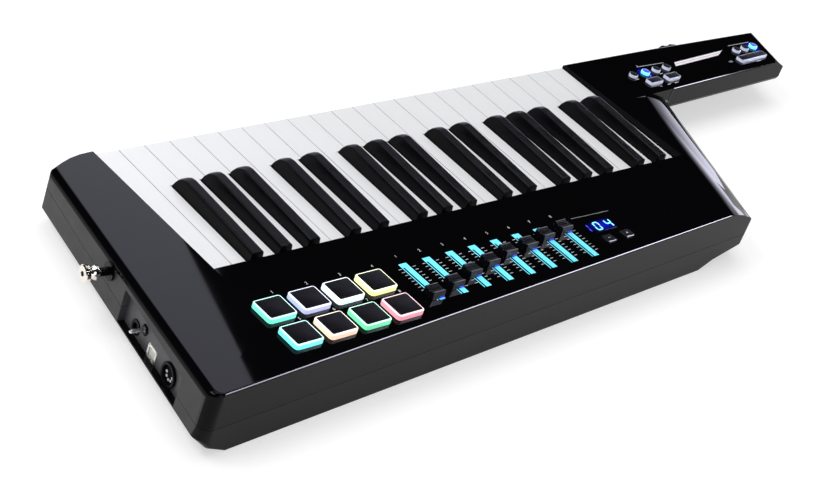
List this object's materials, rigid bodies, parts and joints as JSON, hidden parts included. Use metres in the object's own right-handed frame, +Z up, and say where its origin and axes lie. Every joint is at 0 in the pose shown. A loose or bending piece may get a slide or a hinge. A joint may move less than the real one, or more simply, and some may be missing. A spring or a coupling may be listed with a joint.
{
  "type": "strap-on keyboard",
  "caption": "Slim strap-on keyboard with a wedge body, sprung piano keys, drum pads, faders and a short control neck with a pitch wheel.",
  "frame": {"origin": "centre of the bounding box in plan, on the flat belly that it rests on", "axes": "+X runs along the keys from the treble end to the neck, +Y points to the far edge away from the player, +Z up out of the keys"},
  "size_m": [0.8942, 0.2758, 0.0604],
  "materials": {
    "gloss_black": "high gloss",
    "satin_black": "satin, finely textured",
    "key_white": "smooth",
    "frame_grey": "matt",
    "button_silicone": "translucent sides, dark printed tops",
    "pad_silicone": "matt tops, lit sides",
    "chrome": "polished"
  },
  "bodies": {
    "casing": {"top_shell": "gloss_black", "bottom_shell": "gloss_black", "keybed_frame": "frame_grey", "pad_mat": "pad_silicone", "neck_keypad_root": "button_silicone", "neck_keypad_tip": "button_silicone", "strap_peg": "chrome"},
    "pitch_wheel": {"pitch_wheel": "satin_black"},
    "power_toggle": {"power_toggle": "chrome"},
    "battery_door": {"battery_door": "gloss_black"},
    "fader_cap_1": {"fader_cap_1": "satin_black"},
    "fader_cap_2": {"fader_cap_2": "satin_black"},
    "fader_cap_3": {"fader_cap_3": "satin_black"},
    "fader_cap_4": {"fader_cap_4": "satin_black"},
    "fader_cap_5": {"fader_cap_5": "satin_black"},
    "fader_cap_6": {"fader_cap_6": "satin_black"},
    "fader_cap_7": {"fader_cap_7": "satin_black"},
    "fader_cap_8": {"fader_cap_8": "satin_black"},
    "panel_button_1": {"panel_button_1": "satin_black"},
    "panel_button_2": {"panel_button_2": "satin_black"},
    "neck_button_root_1": {"neck_button_root_1": "satin_black"},
    "neck_button_root_2": {"neck_button_root_2": "satin_black"},
    "neck_button_tip": {"neck_button_tip": "satin_black"},
    "white_key_01": {"white_key_01": "key_white"},
    "white_key_02": {"white_key_02": "key_white"},
    "white_key_03": {"white_key_03": "key_white"},
    "white_key_04": {"white_key_04": "key_white"},
    "white_key_05": {"white_key_05": "key_white"},
    "white_key_06": {"white_key_06": "key_white"},
    "white_key_07": {"white_key_07": "key_white"},
    "white_key_08": {"white_key_08": "key_white"},
    "white_key_09": {"white_key_09": "key_white"},
    "white_key_10": {"white_key_10": "key_white"},
    "white_key_11": {"white_key_11": "key_white"},
    "white_key_12": {"white_key_12": "key_white"},
    "white_key_13": {"white_key_13": "key_white"},
    "white_key_14": {"white_key_14": "key_white"},
    "white_key_15": {"white_key_15": "key_white"},
    "white_key_16": {"white_key_16": "key_white"},
    "white_key_17": {"white_key_17": "key_white"},
    "white_key_18": {"white_key_18": "key_white"},
    "white_key_19": {"white_key_19": "key_white"},
    "white_key_20": {"white_key_20": "key_white"},
    "white_key_21": {"white_key_21": "key_white"},
    "white_key_22": {"white_key_22": "key_white"},
    "black_key_01": {"black_key_01": "satin_black"},
    "black_key_02": {"black_key_02": "satin_black"},
    "black_key_03": {"black_key_03": "satin_black"},
    "black_key_04": {"black_key_04": "satin_black"},
    "black_key_05": {"black_key_05": "satin_black"},
    "black_key_06": {"black_key_06": "satin_black"},
    "black_key_07": {"black_key_07": "satin_black"},
    "black_key_08": {"black_key_08": "satin_black"},
    "black_key_09": {"black_key_09": "satin_black"},
    "black_key_10": {"black_key_10": "satin_black"},
    "black_key_11": {"black_key_11": "satin_black"},
    "black_key_12": {"black_key_12": "satin_black"},
    "black_key_13": {"black_key_13": "satin_black"},
    "black_key_14": {"black_key_14": "satin_black"},
    "black_key_15": {"black_key_15": "satin_black"}
  },
  "joints": [
    {"name": "pitch_wheel_turn", "type": "hinge", "parent": "casing", "child": "pitch_wheel", "pos_m": [0.313, 0.11263, 0.037], "axis": [0, 0, 1], "range_deg": [-30, 30], "stiffness_Nm_per_rad": 0.02},
    {"name": "power_toggle_throw", "type": "hinge", "parent": "casing", "child": "power_toggle", "pos_m": [-0.4269, -0.04048, 0.0289], "axis": [0, 0, 1], "range_deg": [-12, 12]},
    {"name": "battery_door_swing", "type": "hinge", "parent": "casing", "child": "battery_door", "pos_m": [-0.15, -0.04987, 0], "axis": [1, 0, 0], "range_deg": [0, 70]},
    {"name": "fader_1_slide", "type": "slide", "parent": "casing", "child": "fader_cap_1", "axis": [0, 0.9996, -0.027], "range_m": [0, 0.03]},
    {"name": "fader_2_slide", "type": "slide", "parent": "casing", "child": "fader_cap_2", "axis": [0, 0.9996, -0.027], "range_m": [-0.0042, 0.0258]},
    {"name": "fader_3_slide", "type": "slide", "parent": "casing", "child": "fader_cap_3", "axis": [0, 0.9996, -0.027], "range_m": [-0.0105, 0.0195]},
    {"name": "fader_4_slide", "type": "slide", "parent": "casing", "child": "fader_cap_4", "axis": [0, 0.9996, -0.027], "range_m": [-0.0156, 0.0144]},
    {"name": "fader_5_slide", "type": "slide", "parent": "casing", "child": "fader_cap_5", "axis": [0, 0.9996, -0.027], "range_m": [-0.0207, 0.0093]},
    {"name": "fader_6_slide", "type": "slide", "parent": "casing", "child": "fader_cap_6", "axis": [0, 0.9996, -0.027], "range_m": [-0.0222, 0.0078]},
    {"name": "fader_7_slide", "type": "slide", "parent": "casing", "child": "fader_cap_7", "axis": [0, 0.9996, -0.027], "range_m": [-0.027, 0.003]},
    {"name": "fader_8_slide", "type": "slide", "parent": "casing", "child": "fader_cap_8", "axis": [0, 0.9996, -0.027], "range_m": [-0.03, 0]},
    {"name": "panel_button_1_press", "type": "slide", "parent": "casing", "child": "panel_button_1", "axis": [0, -0.027, -0.9996], "range_m": [0, 0.0012], "stiffness_N_per_m": 300, "springref_m": -0.003},
    {"name": "panel_button_2_press", "type": "slide", "parent": "casing", "child": "panel_button_2", "axis": [0, -0.027, -0.9996], "range_m": [0, 0.0012], "stiffness_N_per_m": 300, "springref_m": -0.003},
    {"name": "neck_button_root_1_press", "type": "slide", "parent": "casing", "child": "neck_button_root_1", "axis": [0, -0.027, -0.9996], "range_m": [0, 0.0012], "stiffness_N_per_m": 300, "springref_m": -0.003},
    {"name": "neck_button_root_2_press", "type": "slide", "parent": "casing", "child": "neck_button_root_2", "axis": [0, -0.027, -0.9996], "range_m": [0, 0.0012], "stiffness_N_per_m": 300, "springref_m": -0.003},
    {"name": "neck_button_tip_press", "type": "slide", "parent": "casing", "child": "neck_button_tip", "axis": [0, -0.027, -0.9996], "range_m": [0, 0.0012], "stiffness_N_per_m": 300, "springref_m": -0.003},
    {"name": "black_key_01_press", "type": "hinge", "parent": "casing", "child": "black_key_01", "pos_m": [-0.3175, -0.03587, 0.037], "axis": [-1, 0, 0], "range_deg": [0, 3.39], "stiffness_Nm_per_rad": 0.35, "springref_deg": -14.32},
    {"name": "black_key_02_press", "type": "hinge", "parent": "casing", "child": "black_key_02", "pos_m": [-0.2905, -0.03587, 0.037], "axis": [-1, 0, 0], "range_deg": [0, 3.39], "stiffness_Nm_per_rad": 0.35, "springref_deg": -14.32},
    {"name": "white_key_01_press", "type": "hinge", "parent": "casing", "child": "white_key_01", "pos_m": [-0.34925, -0.03587, 0.037], "axis": [-1, 0, 0], "range_deg": [0, 3.39], "stiffness_Nm_per_rad": 0.35, "springref_deg": -14.32},
    {"name": "white_key_02_press", "type": "hinge", "parent": "casing", "child": "white_key_02", "pos_m": [-0.32575, -0.03587, 0.037], "axis": [-1, 0, 0], "range_deg": [0, 3.39], "stiffness_Nm_per_rad": 0.35, "springref_deg": -14.32},
    {"name": "white_key_03_press", "type": "hinge", "parent": "casing", "child": "white_key_03", "pos_m": [-0.30225, -0.03587, 0.037], "axis": [-1, 0, 0], "range_deg": [0, 3.39], "stiffness_Nm_per_rad": 0.35, "springref_deg": -14.32},
    {"name": "white_key_04_press", "type": "hinge", "parent": "casing", "child": "white_key_04", "pos_m": [-0.27875, -0.03587, 0.037], "axis": [-1, 0, 0], "range_deg": [0, 3.39], "stiffness_Nm_per_rad": 0.35, "springref_deg": -14.32},
    {"name": "white_key_05_press", "type": "hinge", "parent": "casing", "child": "white_key_05", "pos_m": [-0.25525, -0.03587, 0.037], "axis": [-1, 0, 0], "range_deg": [0, 3.39], "stiffness_Nm_per_rad": 0.35, "springref_deg": -14.32},
    {"name": "white_key_06_press", "type": "hinge", "parent": "casing", "child": "white_key_06", "pos_m": [-0.23175, -0.03587, 0.037], "axis": [-1, 0, 0], "range_deg": [0, 3.39], "stiffness_Nm_per_rad": 0.35, "springref_deg": -14.32},
    {"name": "white_key_07_press", "type": "hinge", "parent": "casing", "child": "white_key_07", "pos_m": [-0.20825, -0.03587, 0.037], "axis": [-1, 0, 0], "range_deg": [0, 3.39], "stiffness_Nm_per_rad": 0.35, "springref_deg": -14.32},
    {"name": "white_key_08_press", "type": "hinge", "parent": "casing", "child": "white_key_08", "pos_m": [-0.18475, -0.03587, 0.037], "axis": [-1, 0, 0], "range_deg": [0, 3.39], "stiffness_Nm_per_rad": 0.35, "springref_deg": -14.32},
    {"name": "white_key_09_press", "type": "hinge", "parent": "casing", "child": "white_key_09", "pos_m": [-0.16125, -0.03587, 0.037], "axis": [-1, 0, 0], "range_deg": [0, 3.39], "stiffness_Nm_per_rad": 0.35, "springref_deg": -14.32},
    {"name": "white_key_10_press", "type": "hinge", "parent": "casing", "child": "white_key_10", "pos_m": [-0.13775, -0.03587, 0.037], "axis": [-1, 0, 0], "range_deg": [0, 3.39], "stiffness_Nm_per_rad": 0.35, "springref_deg": -14.32},
    {"name": "white_key_11_press", "type": "hinge", "parent": "casing", "child": "white_key_11", "pos_m": [-0.11425, -0.03587, 0.037], "axis": [-1, 0, 0], "range_deg": [0, 3.39], "stiffness_Nm_per_rad": 0.35, "springref_deg": -14.32},
    {"name": "white_key_12_press", "type": "hinge", "parent": "casing", "child": "white_key_12", "pos_m": [-0.09075, -0.03587, 0.037], "axis": [-1, 0, 0], "range_deg": [0, 3.39], "stiffness_Nm_per_rad": 0.35, "springref_deg": -14.32},
    {"name": "white_key_13_press", "type": "hinge", "parent": "casing", "child": "white_key_13", "pos_m": [-0.06725, -0.03587, 0.037], "axis": [-1, 0, 0], "range_deg": [0, 3.39], "stiffness_Nm_per_rad": 0.35, "springref_deg": -14.32},
    {"name": "white_key_14_press", "type": "hinge", "parent": "casing", "child": "white_key_14", "pos_m": [-0.04375, -0.03587, 0.037], "axis": [-1, 0, 0], "range_deg": [0, 3.39], "stiffness_Nm_per_rad": 0.35, "springref_deg": -14.32},
    {"name": "white_key_15_press", "type": "hinge", "parent": "casing", "child": "white_key_15", "pos_m": [-0.02025, -0.03587, 0.037], "axis": [-1, 0, 0], "range_deg": [0, 3.39], "stiffness_Nm_per_rad": 0.35, "springref_deg": -14.32},
    {"name": "white_key_16_press", "type": "hinge", "parent": "casing", "child": "white_key_16", "pos_m": [0.00325, -0.03587, 0.037], "axis": [-1, 0, 0], "range_deg": [0, 3.39], "stiffness_Nm_per_rad": 0.35, "springref_deg": -14.32},
    {"name": "white_key_17_press", "type": "hinge", "parent": "casing", "child": "white_key_17", "pos_m": [0.02675, -0.03587, 0.037], "axis": [-1, 0, 0], "range_deg": [0, 3.39], "stiffness_Nm_per_rad": 0.35, "springref_deg": -14.32},
    {"name": "white_key_18_press", "type": "hinge", "parent": "casing", "child": "white_key_18", "pos_m": [0.05025, -0.03587, 0.037], "axis": [-1, 0, 0], "range_deg": [0, 3.39], "stiffness_Nm_per_rad": 0.35, "springref_deg": -14.32},
    {"name": "white_key_19_press", "type": "hinge", "parent": "casing", "child": "white_key_19", "pos_m": [0.07375, -0.03587, 0.037], "axis": [-1, 0, 0], "range_deg": [0, 3.39], "stiffness_Nm_per_rad": 0.35, "springref_deg": -14.32},
    {"name": "white_key_20_press", "type": "hinge", "parent": "casing", "child": "white_key_20", "pos_m": [0.09725, -0.03587, 0.037], "axis": [-1, 0, 0], "range_deg": [0, 3.39], "stiffness_Nm_per_rad": 0.35, "springref_deg": -14.32},
    {"name": "white_key_21_press", "type": "hinge", "parent": "casing", "child": "white_key_21", "pos_m": [0.12075, -0.03587, 0.037], "axis": [-1, 0, 0], "range_deg": [0, 3.39], "stiffness_Nm_per_rad": 0.35, "springref_deg": -14.32},
    {"name": "white_key_22_press", "type": "hinge", "parent": "casing", "child": "white_key_22", "pos_m": [0.14425, -0.03587, 0.037], "axis": [-1, 0, 0], "range_deg": [0, 3.39], "stiffness_Nm_per_rad": 0.35, "springref_deg": -14.32},
    {"name": "black_key_03_press", "type": "hinge", "parent": "casing", "child": "black_key_03", "pos_m": [-0.2635, -0.03587, 0.037], "axis": [-1, 0, 0], "range_deg": [0, 3.39], "stiffness_Nm_per_rad": 0.35, "springref_deg": -14.32},
    {"name": "black_key_04_press", "type": "hinge", "parent": "casing", "child": "black_key_04", "pos_m": [-0.22249, -0.03587, 0.037], "axis": [-1, 0, 0], "range_deg": [0, 3.39], "stiffness_Nm_per_rad": 0.35, "springref_deg": -14.32},
    {"name": "black_key_05_press", "type": "hinge", "parent": "casing", "child": "black_key_05", "pos_m": [-0.19401, -0.03587, 0.037], "axis": [-1, 0, 0], "range_deg": [0, 3.39], "stiffness_Nm_per_rad": 0.35, "springref_deg": -14.32},
    {"name": "black_key_06_press", "type": "hinge", "parent": "casing", "child": "black_key_06", "pos_m": [-0.153, -0.03587, 0.037], "axis": [-1, 0, 0], "range_deg": [0, 3.39], "stiffness_Nm_per_rad": 0.35, "springref_deg": -14.32},
    {"name": "black_key_07_press", "type": "hinge", "parent": "casing", "child": "black_key_07", "pos_m": [-0.126, -0.03587, 0.037], "axis": [-1, 0, 0], "range_deg": [0, 3.39], "stiffness_Nm_per_rad": 0.35, "springref_deg": -14.32},
    {"name": "black_key_08_press", "type": "hinge", "parent": "casing", "child": "black_key_08", "pos_m": [-0.099, -0.03587, 0.037], "axis": [-1, 0, 0], "range_deg": [0, 3.39], "stiffness_Nm_per_rad": 0.35, "springref_deg": -14.32},
    {"name": "black_key_09_press", "type": "hinge", "parent": "casing", "child": "black_key_09", "pos_m": [-0.05799, -0.03587, 0.037], "axis": [-1, 0, 0], "range_deg": [0, 3.39], "stiffness_Nm_per_rad": 0.35, "springref_deg": -14.32},
    {"name": "black_key_10_press", "type": "hinge", "parent": "casing", "child": "black_key_10", "pos_m": [-0.02951, -0.03587, 0.037], "axis": [-1, 0, 0], "range_deg": [0, 3.39], "stiffness_Nm_per_rad": 0.35, "springref_deg": -14.32},
    {"name": "black_key_11_press", "type": "hinge", "parent": "casing", "child": "black_key_11", "pos_m": [0.0115, -0.03587, 0.037], "axis": [-1, 0, 0], "range_deg": [0, 3.39], "stiffness_Nm_per_rad": 0.35, "springref_deg": -14.32},
    {"name": "black_key_12_press", "type": "hinge", "parent": "casing", "child": "black_key_12", "pos_m": [0.0385, -0.03587, 0.037], "axis": [-1, 0, 0], "range_deg": [0, 3.39], "stiffness_Nm_per_rad": 0.35, "springref_deg": -14.32},
    {"name": "black_key_13_press", "type": "hinge", "parent": "casing", "child": "black_key_13", "pos_m": [0.0655, -0.03587, 0.037], "axis": [-1, 0, 0], "range_deg": [0, 3.39], "stiffness_Nm_per_rad": 0.35, "springref_deg": -14.32},
    {"name": "black_key_14_press", "type": "hinge", "parent": "casing", "child": "black_key_14", "pos_m": [0.10651, -0.03587, 0.037], "axis": [-1, 0, 0], "range_deg": [0, 3.39], "stiffness_Nm_per_rad": 0.35, "springref_deg": -14.32},
    {"name": "black_key_15_press", "type": "hinge", "parent": "casing", "child": "black_key_15", "pos_m": [0.13499, -0.03587, 0.037], "axis": [-1, 0, 0], "range_deg": [0, 3.39], "stiffness_Nm_per_rad": 0.35, "springref_deg": -14.32}
  ]
}
